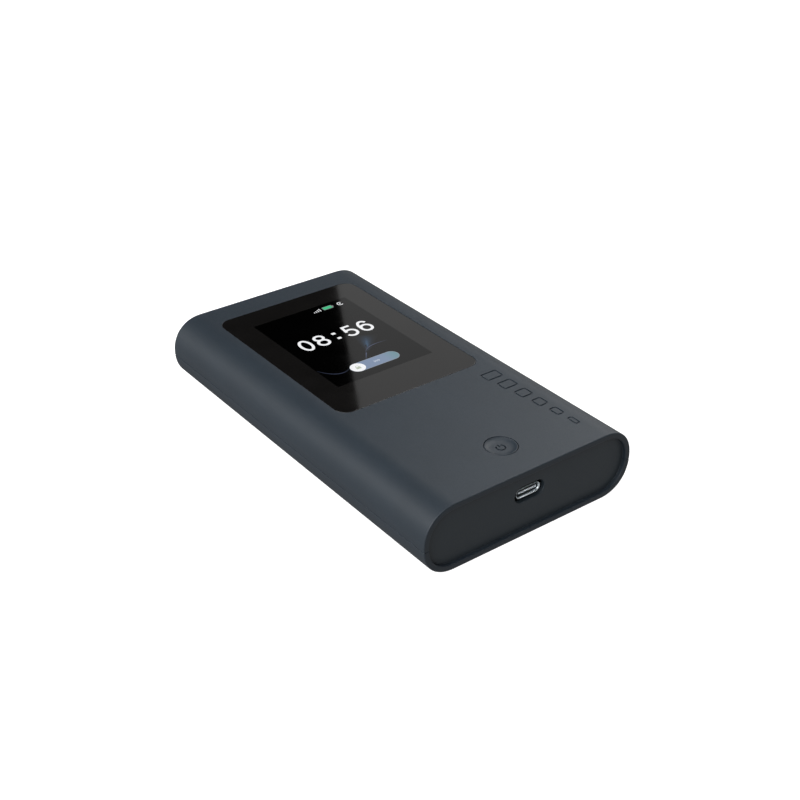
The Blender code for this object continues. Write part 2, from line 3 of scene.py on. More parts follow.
import bmesh
import bpy
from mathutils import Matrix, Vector


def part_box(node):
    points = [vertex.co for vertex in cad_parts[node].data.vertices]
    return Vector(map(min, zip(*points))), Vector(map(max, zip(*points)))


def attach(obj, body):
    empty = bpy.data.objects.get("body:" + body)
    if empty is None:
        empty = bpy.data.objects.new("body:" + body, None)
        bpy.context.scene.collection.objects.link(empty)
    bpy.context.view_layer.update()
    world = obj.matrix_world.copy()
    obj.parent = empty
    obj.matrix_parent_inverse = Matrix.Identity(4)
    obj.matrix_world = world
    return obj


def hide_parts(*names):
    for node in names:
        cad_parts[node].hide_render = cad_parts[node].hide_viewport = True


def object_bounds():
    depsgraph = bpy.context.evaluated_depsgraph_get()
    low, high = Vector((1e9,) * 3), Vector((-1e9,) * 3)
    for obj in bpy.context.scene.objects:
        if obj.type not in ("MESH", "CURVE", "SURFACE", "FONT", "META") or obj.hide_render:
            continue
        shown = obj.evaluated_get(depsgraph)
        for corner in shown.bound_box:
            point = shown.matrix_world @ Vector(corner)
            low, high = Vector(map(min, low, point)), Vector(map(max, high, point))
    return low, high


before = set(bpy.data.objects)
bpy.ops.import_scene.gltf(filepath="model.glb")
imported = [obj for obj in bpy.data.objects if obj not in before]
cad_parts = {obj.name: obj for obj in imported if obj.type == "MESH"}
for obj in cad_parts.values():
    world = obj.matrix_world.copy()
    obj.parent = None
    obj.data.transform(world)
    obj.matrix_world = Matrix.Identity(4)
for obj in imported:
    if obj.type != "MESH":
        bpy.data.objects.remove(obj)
CAD_BOX = [list(corner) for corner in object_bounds()]

MM = 0.001

# ---- sizes, worked out from the frame ----
HIGH = Vector(CAD_BOX[1])
HEIGHT = HIGH.z
END_Y = HIGH.y
SIDE_POWER = 2.2
SIDE_RADIUS = HEIGHT / 2
SIDE_CENTRE_X = HIGH.x - SIDE_RADIUS
WALL = 1.8 * MM
CEILING_Z = HEIGHT - WALL
UPPER_EDGE_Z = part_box("upper_shell")[0].z
SEAM_GAP = 0.16 * MM
LOWER_EDGE_Z = UPPER_EDGE_Z - SEAM_GAP
BUTTON_CENTRE = sum(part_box("power_button"), Vector()) / 2
GLASS_LOW, GLASS_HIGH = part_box("cover_glass")
PANEL_LOW, PANEL_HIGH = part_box("front_end_panel")
SOCKET_LOW, SOCKET_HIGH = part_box("usb_c_shell")
GLASS_CENTRE = (GLASS_LOW + GLASS_HIGH) / 2
GLASS_RADIUS = 4.5 * MM
SURFACE_Z = HEIGHT - 0.05 * MM  # the polished face of the glass
SCREEN_CENTRE_Y = 25.0 * MM
SCREEN_SIZE = (36.5 * MM, 49.0 * MM)


# ---- camera, lights and floor ----
CAMERA_AIM = Vector((0.0033, -0.0022, 0.011))
CAMERA_DISTANCE = 0.4202
CAMERA_AZIMUTH, CAMERA_ELEVATION = math.radians(-36.9), math.radians(31.0)
LENS, SENSOR = 59.8, 36.0


def make_camera():
    away = Vector((
        math.sin(CAMERA_AZIMUTH) * math.cos(CAMERA_ELEVATION),
        -math.cos(CAMERA_AZIMUTH) * math.cos(CAMERA_ELEVATION),
        math.sin(CAMERA_ELEVATION),
    ))
    data = bpy.data.cameras.new("camera")
    data.lens, data.sensor_width = LENS, SENSOR
    data.clip_start, data.clip_end = 0.01, 50
    camera = bpy.data.objects.new("camera", data)
    bpy.context.scene.collection.objects.link(camera)
    camera.location = CAMERA_AIM + away * CAMERA_DISTANCE
    camera.rotation_euler = (-away).to_track_quat("-Z", "Y").to_euler()
    bpy.context.scene.camera = camera


def towards(azimuth, elevation):
    """The direction of a compass bearing: azimuth 0 is -Y, and 90 is +X."""
    bearing, lift = math.radians(azimuth), math.radians(elevation)
    return Vector((
        math.sin(bearing) * math.cos(lift), -math.cos(bearing) * math.cos(lift), math.sin(lift)
    ))


def area_light(name, centre, size, radiance):
    """A softbox of a given brightness, which faces the object unless it is turned."""
    data = bpy.data.lights.new(name, "AREA")
    data.shape = "RECTANGLE"
    data.size, data.size_y = size
    data.energy = radiance * math.pi * size[0] * size[1]
    light = bpy.data.objects.new(name, data)
    bpy.context.scene.collection.objects.link(light)
    light.location = centre
    light.rotation_euler = (-centre).to_track_quat("-Z", "Y").to_euler()
    return light


# The pale card that the glass mirrors: level, with its left edge on this line
CARD_Z = 0.5
CARD_EDGE = (Vector((0.428, 0.631, CARD_Z)), Vector((0.553, 0.847, CARD_Z)))
CARD_SIZE = (0.5, 1.2)
CARD_RADIANCE = 0.56


def make_card():
    start, end = CARD_EDGE
    along = (end - start).normalized()
    across = Vector((along.y, -along.x, 0))
    middle = (start + end) / 2 + across * CARD_SIZE[0] / 2
    card = area_light("mirrored_card", middle, CARD_SIZE, CARD_RADIANCE)
    card.rotation_euler = (0, 0, math.atan2(across.y, across.x))


def lobe(tree, direction, radiance):
    """Light from one side of the room, which fades to none at right angles to it."""
    place = tree.nodes.new("ShaderNodeTexCoord")
    facing = tree.nodes.new("ShaderNodeVectorMath")
    facing.operation = "DOT_PRODUCT"
    facing.inputs[1].default_value = direction
    tree.links.new(place.outputs["Generated"], facing.inputs[0])
    ahead = tree.nodes.new("ShaderNodeMath")
    ahead.operation = "MAXIMUM"
    ahead.inputs[1].default_value = 0.0
    tree.links.new(facing.outputs["Value"], ahead.inputs[0])
    scaled = tree.nodes.new("ShaderNodeMath")
    scaled.operation = "MULTIPLY"
    scaled.inputs[1].default_value = radiance
    tree.links.new(ahead.outputs[0], scaled.inputs[0])
    return scaled.outputs[0]


# The room's two broad glows: azimuth, elevation, radiance
LEFT_GLOW = (270, -20, 0.61)
RIGHT_GLOW = (70, -30, 0.43)


def make_world():
    """A white backdrop for the camera, and a dim room, lighter at its sides, for everything else."""
    world = bpy.data.worlds.new("studio")
    bpy.context.scene.world = world
    world.use_nodes = True
    tree = world.node_tree
    room = tree.nodes["Background"]
    total = tree.nodes.new("ShaderNodeMath")
    for i, (azimuth, elevation, radiance) in enumerate((LEFT_GLOW, RIGHT_GLOW)):
        tree.links.new(lobe(tree, towards(azimuth, elevation), radiance), total.inputs[i])
    tree.links.new(total.outputs[0], room.inputs["Strength"])
    room.inputs["Color"].default_value = (1, 1, 1, 1)
    backdrop = tree.nodes.new("ShaderNodeBackground")
    backdrop.inputs["Color"].default_value = (1, 1, 1, 1)
    light_path = tree.nodes.new("ShaderNodeLightPath")
    mix = tree.nodes.new("ShaderNodeMixShader")
    tree.links.new(light_path.outputs["Is Camera Ray"], mix.inputs["Fac"])
    tree.links.new(room.outputs["Background"], mix.inputs[1])
    tree.links.new(backdrop.outputs["Background"], mix.inputs[2])
    tree.links.new(mix.outputs["Shader"], tree.nodes["World Output"].inputs["Surface"])


FLOOR_SIZE, FLOOR_Z = 14, -0.05 * MM


def make_floor():
    """A pale floor that keeps only a trace of shadow, and throws no light back."""
    bpy.ops.mesh.primitive_plane_add(size=FLOOR_SIZE, location=(0, 0, FLOOR_Z))
    floor = bpy.context.object
    floor.name = "floor"
    material, shader, _ = new_material("floor_paper")
    shader.inputs["Base Color"].default_value = (0.5, 0.5, 0.5, 1)
    shader.inputs["Roughness"].default_value = 0.9
    shader.inputs["Specular IOR Level"].default_value = 0.0
    shader.inputs["Emission Color"].default_value = (1, 1, 1, 1)
    shader.inputs["Emission Strength"].default_value = 0.93
    floor.data.materials.append(material)
    floor.visible_diffuse = False
    floor.visible_glossy = False


SOFTBOX_DISTANCE = 1.1
# name, azimuth, elevation, size, radiance
SOFTBOXES = (
    ("right_high", 112, 46, (0.62, 0.62), 2.15),
    ("right_low", 108, 20, (0.62, 0.5), 1.5),
    ("left_low", 272, 30, (1.3, 0.5), 4.0),
    ("left_high", 272, 50, (1.3, 0.5), 2.74),
    ("overhead", 0, 88, (0.8, 0.8), 1.35),
    ("front_glint", 40, 40, (0.14, 0.14), 11.0),
    ("rear_low", 190, 6, (1.0, 0.35), 1.3),
)


def make_studio():
    make_card()
    for name, azimuth, elevation, size, radiance in SOFTBOXES:
        area_light(name, towards(azimuth, elevation) * SOFTBOX_DISTANCE, size, radiance)
    make_world()
    make_floor()
    scene = bpy.context.scene
    scene.view_settings.view_transform = "Standard"
    scene.cycles.use_denoising = True


# ---- materials ----
def new_material(name):
    material = bpy.data.materials.new(name)
    material.use_nodes = True
    shader = material.node_tree.nodes["Principled BSDF"]
    return material, shader, material.node_tree


def object_noise(tree, scale, detail=3.0, roughness=0.5):
    """A noise pattern fixed to the object, with about scale cells to the metre."""
    place = tree.nodes.new("ShaderNodeTexCoord")
    noise = tree.nodes.new("ShaderNodeTexNoise")
    noise.inputs["Scale"].default_value = scale
    noise.inputs["Detail"].default_value = detail
    noise.inputs["Roughness"].default_value = roughness
    tree.links.new(place.outputs["Object"], noise.inputs["Vector"])
    return noise.outputs["Fac"]


def between(tree, value, low, high, start=0.3, end=0.7):
    """Maps a pattern's values from start..end to low..high."""
    node = tree.nodes.new("ShaderNodeMapRange")
    node.inputs["From Min"].default_value = start
    node.inputs["From Max"].default_value = end
    node.inputs["To Min"].default_value = low
    node.inputs["To Max"].default_value = high
    tree.links.new(value, node.inputs["Value"])
    return node.outputs["Result"]


def ramp(tree, value, stops):
    """Turns a pattern into colours: stops are (position, colour)."""
    node = tree.nodes.new("ShaderNodeValToRGB")
    elements = node.color_ramp.elements
    while len(elements) < len(stops):
        elements.new(0.5)
    for element, (position, colour) in zip(elements, stops):
        element.position = position
        element.color = (*colour, 1)
    tree.links.new(value, node.inputs["Fac"])
    return node.outputs["Color"]


def shaded(colour, factor):
    return tuple(channel * factor for channel in colour)


def bumped(tree, shader, value, distance, strength=0.5):
    node = tree.nodes.new("ShaderNodeBump")
    node.inputs["Distance"].default_value = distance
    node.inputs["Strength"].default_value = strength
    tree.links.new(value, node.inputs["Height"])
    tree.links.new(node.outputs["Normal"], shader.inputs["Normal"])


def moulded_plastic(name, colour, roughness, grain=3500, depth=0.012 * MM, specular=0.5):
    """Matt moulded plastic: spark-eroded grain, with faint clouding of colour and gloss."""
    material, shader, tree = new_material(name)
    clouds = object_noise(tree, 70, 4)
    fine = object_noise(tree, grain, 2, 0.6)
    mixed = tree.nodes.new("ShaderNodeMath")
    mixed.operation = "MULTIPLY_ADD"
    mixed.inputs[1].default_value = 0.45
    tree.links.new(fine, mixed.inputs[0])
    tree.links.new(between(tree, clouds, 0.2, 0.35), mixed.inputs[2])
    stops = [(0.3, shaded(colour, 0.88)), (0.62, shaded(colour, 1.12))]
    tree.links.new(ramp(tree, mixed.outputs[0], stops), shader.inputs["Base Color"])
    rough = between(tree, fine, roughness - 0.07, roughness + 0.07)
    tree.links.new(rough, shader.inputs["Roughness"])
    shader.inputs["Specular IOR Level"].default_value = specular
    bumped(tree, shader, fine, depth)
    return material


GLOSS = 0.045  # the roughness of polished glass
SCREEN_SPECULAR = 0.31


def polished_glass(name, colour, specular=0.5):
    """Black-backed glass, with a trace of wiping marks in its gloss."""
    material, shader, tree = new_material(name)
    smear = object_noise(tree, 90, 5, 0.6)
    stops = [(0.35, shaded(colour, 0.9)), (0.65, shaded(colour, 1.1))]
    tree.links.new(ramp(tree, smear, stops), shader.inputs["Base Color"])
    tree.links.new(between(tree, smear, GLOSS - 0.01, GLOSS + 0.015), shader.inputs["Roughness"])
    shader.inputs["Specular IOR Level"].default_value = specular
    return material


def lit_pixels(name, colour, strength):
    """A lit part of the screen under its glass, with the faint grid of its pixels."""
    material, shader, tree = new_material(name)
    shader.inputs["Base Color"].default_value = (0.01, 0.01, 0.01, 1)
    shader.inputs["Roughness"].default_value = GLOSS
    shader.inputs["Specular IOR Level"].default_value = SCREEN_SPECULAR
    place = tree.nodes.new("ShaderNodeTexCoord")
    grid = tree.nodes.new("ShaderNodeTexBrick")
    grid.offset = 0.0
    grid.inputs["Scale"].default_value = 1
    grid.inputs["Brick Width"].default_value = 0.15 * MM
    grid.inputs["Row Height"].default_value = 0.15 * MM
    grid.inputs["Mortar Size"].default_value = 0.012 * MM
    grid.inputs["Color1"].default_value = (*colour, 1)
    grid.inputs["Color2"].default_value = (*shaded(colour, 0.97), 1)
    grid.inputs["Mortar"].default_value = (*shaded(colour, 0.75), 1)
    tree.links.new(place.outputs["Object"], grid.inputs["Vector"])
    tree.links.new(grid.outputs["Color"], shader.inputs["Emission Color"])
    shader.inputs["Emission Strength"].default_value = strength
    return material


def slider_pixels(name):
    """The slider's lit track: pale blue, turning to blue-green towards its right end."""
    material = lit_pixels(name, (1, 1, 1), 1.0)
    tree = material.node_tree
    shader = tree.nodes["Principled BSDF"]
    place = tree.nodes.new("ShaderNodeTexCoord")
    axes = tree.nodes.new("ShaderNodeSeparateXYZ")
    tree.links.new(place.outputs["Object"], axes.inputs[0])
    share = between(tree, axes.outputs["X"], 0.0, 1.0, -9 * MM, 9 * MM)
    stops = [(0.0, (0.17, 0.23, 0.36)), (0.72, (0.19, 0.255, 0.37)), (1.0, (0.14, 0.265, 0.3))]
    tree.links.new(ramp(tree, share, stops), shader.inputs["Emission Color"])
    return material


def glowing_ribbon(name, colour):
    """Light on the screen that fades with the mesh's own glow values."""
    material, shader, tree = new_material(name)
    shader.inputs["Base Color"].default_value = (0.002, 0.002, 0.002, 1)
    shader.inputs["Roughness"].default_value = GLOSS
    shader.inputs["Specular IOR Level"].default_value = SCREEN_SPECULAR
    glow = tree.nodes.new("ShaderNodeAttribute")
    glow.attribute_name = "glow"
    grain = between(tree, object_noise(tree, 1500, 2), 0.85, 1.1)
    product = tree.nodes.new("ShaderNodeMath")
    product.operation = "MULTIPLY"
    tree.links.new(glow.outputs["Fac"], product.inputs[0])
    tree.links.new(grain, product.inputs[1])
    stops = [(0.0, (0, 0, 0)), (0.45, shaded(colour, 0.28)), (1.0, colour)]
    tree.links.new(ramp(tree, product.outputs[0], stops), shader.inputs["Emission Color"])
    shader.inputs["Emission Strength"].default_value = 1.0
    return material


def streaks(tree, scale, detail):
    """Noise drawn out along X: scale is its cells to the metre along each axis."""
    place = tree.nodes.new("ShaderNodeTexCoord")
    stretch = tree.nodes.new("ShaderNodeMapping")
    stretch.inputs["Scale"].default_value = scale
    noise = tree.nodes.new("ShaderNodeTexNoise")
    noise.inputs["Scale"].default_value = 1.0
    noise.inputs["Detail"].default_value = detail
    tree.links.new(place.outputs["Object"], stretch.inputs["Vector"])
    tree.links.new(stretch.outputs["Vector"], noise.inputs["Vector"])
    return noise.outputs["Fac"]


def metal(name, colour, roughness):
    """Plated or brushed metal, with fine lines drawn along X."""
    material, shader, tree = new_material(name)
    lines = streaks(tree, (40, 2500, 2500), 4)
    stops = [(0.3, shaded(colour, 0.85)), (0.7, colour)]
    tree.links.new(ramp(tree, lines, stops), shader.inputs["Base Color"])
    rough = between(tree, lines, roughness - 0.06, roughness + 0.08)
    tree.links.new(rough, shader.inputs["Roughness"])
    shader.inputs["Metallic"].default_value = 1.0
    bumped(tree, shader, lines, 0.004 * MM, 0.3)
    return material


def circuit_board_material():
    """Green solder mask over etched copper runs."""
    material, shader, tree = new_material("solder_mask")
    place = tree.nodes.new("ShaderNodeTexCoord")
    runs = tree.nodes.new("ShaderNodeTexBrick")
    runs.offset = 0.37
    runs.inputs["Scale"].default_value = 1
    runs.inputs["Brick Width"].default_value = 4.1 * MM
    runs.inputs["Row Height"].default_value = 0.62 * MM
    runs.inputs["Mortar Size"].default_value = 0.1 * MM
    runs.inputs["Color1"].default_value = (0.006, 0.05, 0.026, 1)
    runs.inputs["Color2"].default_value = (0.008, 0.066, 0.034, 1)
    runs.inputs["Mortar"].default_value = (0.016, 0.11, 0.05, 1)
    tree.links.new(place.outputs["Object"], runs.inputs["Vector"])
    tree.links.new(runs.outputs["Color"], shader.inputs["Base Color"])
    rough = between(tree, object_noise(tree, 900), 0.3, 0.42)
    tree.links.new(rough, shader.inputs["Roughness"])
    bumped(tree, shader, runs.outputs["Fac"], 0.02 * MM, 0.4)
    return material


def film_material(name, colour):
    """Thin polyimide film with copper runs showing through."""
    material, shader, tree = new_material(name)
    place = tree.nodes.new("ShaderNodeTexCoord")
    runs = tree.nodes.new("ShaderNodeTexWave")
    runs.inputs["Scale"].default_value = 320
    runs.inputs["Distortion"].default_value = 0.0
    tree.links.new(place.outputs["Object"], runs.inputs["Vector"])
    stops = [(0.35, shaded(colour, 0.6)), (0.6, shaded(colour, 1.15))]
    tree.links.new(ramp(tree, runs.outputs["Fac"], stops), shader.inputs["Base Color"])
    tree.links.new(between(tree, object_noise(tree, 600), 0.28, 0.42), shader.inputs["Roughness"])
    return material


def film_tape(name, colour):
    """Amber insulating tape: glossy, with faint streaks along it."""
    material, shader, tree = new_material(name)
    lines = streaks(tree, (60, 900, 900), 2)
    stops = [(0.3, shaded(colour, 0.75)), (0.7, shaded(colour, 1.1))]
    tree.links.new(ramp(tree, lines, stops), shader.inputs["Base Color"])
    tree.links.new(between(tree, lines, 0.2, 0.32), shader.inputs["Roughness"])
    bumped(tree, shader, lines, 0.01 * MM, 0.3)
    return material


BODY_COLOUR = (0.0155, 0.024, 0.034)
# The end plates are the body's plastic, lightened: painted light that lifts the shade on the recessed end
# faces
PANEL_PAINTED_LIGHT_COLOUR = (0.0205, 0.0293, 0.0375)
PAPER_WHITE = (0.72, 0.72, 0.7)


def make_materials():
    return {
        "body": moulded_plastic("body_plastic", BODY_COLOUR, 0.5),
        # the end plates' plastic: the body's plastic with painted light, lighter than the body
        "panel": moulded_plastic("panel_plastic", PANEL_PAINTED_LIGHT_COLOUR, 0.5),
        "inner": moulded_plastic("inner_plastic", (0.02, 0.02, 0.022), 0.5, 1500),
        "resin": moulded_plastic("chip_resin", (0.012, 0.012, 0.013), 0.45, 5000),
        "wrap": moulded_plastic("battery_wrap", (0.035, 0.037, 0.042), 0.35, 600, 0.05 * MM),
        "label": moulded_plastic("battery_label", (0.17, 0.175, 0.18), 0.42, 1800, 0.01 * MM),
        "tape": film_tape("battery_tape", (0.3, 0.16, 0.012)),
        "pad": moulded_plastic("soft_pad", (0.28, 0.3, 0.33), 0.75, 1200),
        "card": moulded_plastic("card_plastic", PAPER_WHITE, 0.4, 2500, 0.005 * MM),
        "glass": polished_glass("front_glass", (0.0066, 0.0062, 0.006)),
        "screen": polished_glass("screen_black", (0.0005, 0.0005, 0.0005), SCREEN_SPECULAR),
        "white_pixels": lit_pixels("white_pixels", (0.95, 0.96, 0.98), 1.0),
        "green_pixels": lit_pixels("green_pixels", (0.06, 0.55, 0.25), 1.0),
        "slider_pixels": slider_pixels("slider_pixels"),
        "pale_pixels": lit_pixels("pale_pixels", (0.55, 0.62, 0.72), 1.0),
        "edge_pixels": lit_pixels("edge_pixels", (0.28, 0.32, 0.38), 1.0),
        "grey_pixels": lit_pixels("grey_pixels", (0.24, 0.28, 0.27), 1.0),
        "lock_pixels": lit_pixels("lock_pixels", (0.5, 0.56, 0.45), 1.0),
        "glow": glowing_ribbon("blue_glow", (0.05, 0.11, 0.2)),
        "fine_glow": glowing_ribbon("fine_glow", (0.13, 0.16, 0.28)),
        "steel": metal("plated_steel", (0.72, 0.71, 0.69), 0.24),
        "nickel": metal("satin_nickel", (0.82, 0.88, 0.92), 0.34),
        "gold": metal("gold_plate", (0.83, 0.6, 0.25), 0.25),
        "board": circuit_board_material(),
        "film": film_material("flex_film", (0.34, 0.15, 0.03)),
    }


# ---- shapes ----
def rounded(width, length, radius, centre=(0, 0), steps=8):
    """A rounded rectangle, as a function that gives its ring of points grown by an amount."""
    def ring(grow=0.0):
        points = []
        for corner in range(4):
            sign_x = 1 if corner in (0, 3) else -1
            sign_y = 1 if corner in (0, 1) else -1
            middle_x = centre[0] + sign_x * (width / 2 - radius)
            middle_y = centre[1] + sign_y * (length / 2 - radius)
            for i in range(steps + 1):
                angle = math.radians(90 * corner + 90 * i / steps)
                points.append((
                    middle_x + (radius + grow) * math.cos(angle),
                    middle_y + (radius + grow) * math.sin(angle),
                ))
        return points
    return ring


def circular(radius, centre=(0, 0), steps=96):
    def ring(grow=0.0):
        turns = [2 * math.pi * i / steps for i in range(steps)]
        return [
            (centre[0] + (radius + grow) * math.cos(t), centre[1] + (radius + grow) * math.sin(t))
            for t in turns
        ]
    return ring


def side_x(inset, z):
    """Half the casing's width at height z, inset from the outside."""
    radius = SIDE_RADIUS - inset
    rise = min(1.0, abs(z - SIDE_RADIUS) / radius)
    return SIDE_CENTRE_X + radius * (1 - rise ** SIDE_POWER) ** (1 / SIDE_POWER)


def side_curve(inset, z_start, steps):
    """Points (x, z) up the right-hand side, from z_start to the flat top."""
    radius = SIDE_RADIUS - inset
    rise = (z_start - SIDE_RADIUS) / radius
    low = math.asin(math.copysign(abs(rise) ** (SIDE_POWER / 2), rise))
    points = []
    for i in range(steps + 1):
        angle = low + (math.pi / 2 - low) * i / steps
        across = abs(math.cos(angle)) ** (2 / SIDE_POWER)
        up = math.copysign(abs(math.sin(angle)) ** (2 / SIDE_POWER), angle)
        points.append((SIDE_CENTRE_X + radius * across, SIDE_RADIUS + radius * up))
    return points


def slab_ring(inset, steps=28):
    """The casing's whole outline (x, z), inset from the outside, as a growing ring."""
    def ring(grow=0.0):
        upper = side_curve(inset - grow, SIDE_RADIUS, steps)
        right = [(x, HEIGHT - z) for x, z in upper[::-1]] + upper[1:]
        return right + [(-x, z) for x, z in right[::-1]]
    return ring


def mesh_object(name, vertices, faces):
    mesh = bpy.data.meshes.new(name)
    shape = bmesh.new()
    corners = [shape.verts.new(v) for v in vertices]
    for face in faces:
        shape.faces.new([corners[i] for i in face])
    bmesh.ops.recalc_face_normals(shape, faces=shape.faces)
    shape.to_mesh(mesh)
    shape.free()
    obj = bpy.data.objects.new(name, mesh)
    bpy.context.scene.collection.objects.link(obj)
    return obj


def place(ring, level, plane):
    """Stands a flat ring at a level: a height for XY outlines, a Y for XZ outlines."""
    if plane == "XY":
        return [(a, b, level) for a, b in ring]
    return [(a, level, b) for a, b in ring]


def loft(name, rings, closed=False):
    """A skin over rings of 3-D points: capped at its ends, or closed into a hoop."""
    count, size = len(rings), len(rings[0])
    vertices = [point for ring in rings for point in ring]
    faces = []
    for row in range(count if closed else count - 1):
        below, above = row * size, (row + 1) % count * size
        for i in range(size):
            j = (i + 1) % size
            faces.append((below + i, below + j, above + j, above + i))
    if not closed:
        faces.append(tuple(range(size)))
        faces.append(tuple(range((count - 1) * size, count * size)))
    return mesh_object(name, vertices, faces)


def edge_levels(low, high, low_round, high_round, steps=4):
    """(level, grow) pairs of a plate's edge, rounded at its two faces."""
    pairs = []
    for i in range(steps + 1 if low_round else 1):
        turn = math.pi / 2 * i / steps
        pairs.append((low + low_round * (1 - math.cos(turn)), -low_round * (1 - math.sin(turn))))
    for i in range(steps + 1 if high_round else 1):
        turn = math.pi / 2 * i / steps
        pairs.append((high - high_round * (1 - math.sin(turn)), -high_round * (1 - math.cos(turn))))
    return pairs


def plate(name, outline, low, high, low_round=0.0, high_round=0.0, plane="XY", steps=4):
    levels = edge_levels(low, high, low_round, high_round, steps)
    return loft(name, [place(outline(grow), level, plane) for level, grow in levels])


def flared_cutter(name, outline, low, high, flare, plane="XY", steps=4):
    """A cutter that leaves a rounded edge at its high level, and runs on past it."""
    rings = [place(outline(0), low, plane)]
    for i in range(steps + 1):
        turn = math.pi / 2 * i / steps
        drop, grow = abs(flare) * (1 - math.sin(turn)), abs(flare) * (1 - math.cos(turn))
        rings.append(place(outline(grow), high - math.copysign(drop, high - low), plane))
    beyond = high + math.copysign(1 * MM, high - low)
    rings.append(place(outline(abs(flare) + 0.02 * MM), beyond, plane))
    return loft(name, rings)


def combine(obj, other, operation):
    """Joins other to obj or cuts it out, and removes other."""
    modifier = obj.modifiers.new("combine", "BOOLEAN")
    modifier.operation = operation
    modifier.solver = "EXACT"
    modifier.object = other
    bpy.context.view_layer.update()
    depsgraph = bpy.context.evaluated_depsgraph_get()
    mesh = bpy.data.meshes.new_from_object(obj.evaluated_get(depsgraph))
    obj.modifiers.clear()
    obj.data = mesh
    bpy.data.objects.remove(other)


def cut(obj, other):
    combine(obj, other, "DIFFERENCE")


def join(obj, other):
    combine(obj, other, "UNION")


def finished(obj, material, body, replaces=(), sharp=32):
    """Shades a piece, gives it its material, and files it with its body."""
    obj.data.materials.clear()
    obj.data.materials.append(MATERIALS[material])
    obj.data.shade_smooth()
    obj.data.set_sharp_from_angle(angle=math.radians(sharp))
    weighted = obj.modifiers.new("weighted_normals", "WEIGHTED_NORMAL")
    weighted.keep_sharp = True
    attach(obj, body)
    if replaces:
        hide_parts(*replaces)
    return obj


# ---- casing ----
RIM_OUTER_ROUND = 0.4 * MM
RIM_INNER_ROUND = 0.3 * MM
SEAM_ROUND = 0.2 * MM
SEAM_STEPS = 3
SIDE_STEPS = 30


def half_section(inset, edge_z, rounded_edge):
    """Points (x, z) over the top of a half casing, from its right seam edge to its left one."""
    points = []
    for i in range(SEAM_STEPS):
        turn = math.pi / 2 * i / SEAM_STEPS
        z = edge_z + SEAM_ROUND * (1 - math.cos(turn))
        extra = SEAM_ROUND * (1 - math.sin(turn)) if rounded_edge else 0.0
        points.append((side_x(inset + extra, z), z))
    points += side_curve(inset, edge_z + SEAM_ROUND, SIDE_STEPS)
    return points + [(-x, z) for x, z in points[::-1]]


def half_casing(name, edge_z):
    """Half of the casing above edge_z: a wall with open, rounded ends."""
    stations = []
    for sign in (1, -1):
        outer, inner = [], []
        for i in range(6):
            turn = math.pi / 2 * i / 5
            outer.append((
                END_Y - RIM_OUTER_ROUND * (1 - math.sin(turn)),
                RIM_OUTER_ROUND * (1 - math.cos(turn)),
                True,
            ))
            inner.append((
                END_Y - RIM_INNER_ROUND * (1 - math.sin(turn)),
                WALL - RIM_INNER_ROUND * (1 - math.cos(turn)),
                False,
            ))
        around = outer + inner[::-1] if sign == 1 else inner + outer[::-1]
        stations += [(sign * y, inset, is_outer) for y, inset, is_outer in around]
    rows = []
    for y, inset, is_outer in stations:
        rows.append([(x, y, z) for x, z in half_section(inset, edge_z, is_outer)])
    count, size = len(rows), len(rows[0])
    vertices = [point for row in rows for point in row]
    faces = []
    for row in range(count):
        here, after = row * size, (row + 1) % count * size
        for i in range(size - 1):
            faces.append((here + i, here + i + 1, after + i + 1, after + i))
    faces.append(tuple(row * size for row in range(count)))
    faces.append(tuple(row * size + size - 1 for row in range(count)))
    return mesh_object(name, vertices, faces)


# The raised-bar motif sunk beside the right-hand edge: outlined bars of growing height
MOTIF_X = 23.85 * MM
MOTIF_START_Y, MOTIF_PITCH, MOTIF_COUNT = -56.6 * MM, 6.9 * MM, 6
MOTIF_WIDTH = 4.3 * MM
MOTIF_HEIGHTS = (2.0 * MM, 6.4 * MM)
MOTIF_DEPTH = 0.3 * MM
MOTIF_LINE = 0.5 * MM


def sink_motif(shell):
    shortest, tallest = MOTIF_HEIGHTS
    for i in range(MOTIF_COUNT):
        height = shortest + (tallest - shortest) * i / (MOTIF_COUNT - 1)
        base_x = MOTIF_X + tallest / 2
        centre = (base_x - height / 2, MOTIF_START_Y + MOTIF_PITCH * i)
        outline = rounded(height, MOTIF_WIDTH, 0.95 * MM, centre, 5)
        groove = [
            place(outline(0.02 * MM), HEIGHT + 0.5 * MM, "XY"),
            place(outline(0.02 * MM), HEIGHT, "XY"),
            place(outline(-0.06 * MM), HEIGHT - MOTIF_DEPTH, "XY"),
            place(outline(-MOTIF_LINE + 0.06 * MM), HEIGHT - MOTIF_DEPTH, "XY"),
            place(outline(-MOTIF_LINE - 0.02 * MM), HEIGHT, "XY"),
            place(outline(-MOTIF_LINE - 0.02 * MM), HEIGHT + 0.5 * MM, "XY"),
        ]
        cut(shell, loft("motif_groove", groove, closed=True))


BOSS_RADIUS, BORE_RADIUS, BORE_TOP_Z = 2.5 * MM, 1.3 * MM, 19 * MM
LEDGE_Z = CEILING_Z - 1.2 * MM
LEDGE_OVERLAP = 4.8 * MM  # how far the ledge reaches past the window on each side
ADHESIVE_BORDER = 2.0 * MM
INTO_WALL = 0.6 * MM
GLASS_GAP = 0.08 * MM
KEY_GAP = 0.14 * MM


def centre_of(node):
    low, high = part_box(node)
    return (low + high) / 2


def add_screw_post(shell, screw, seat):
    """A post under the ceiling, just above the node called seat, with the bore for its screw."""
    centre = centre_of(screw).xy
    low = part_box(seat)[1].z + 0.3 * MM
    outline = circular(BOSS_RADIUS, centre, 40)
    join(shell, plate("post", outline, low, CEILING_Z + INTO_WALL, 0.3 * MM))
    cut(shell, plate("bore", circular(BORE_RADIUS, centre, 32), low - 1 * MM, BORE_TOP_Z))


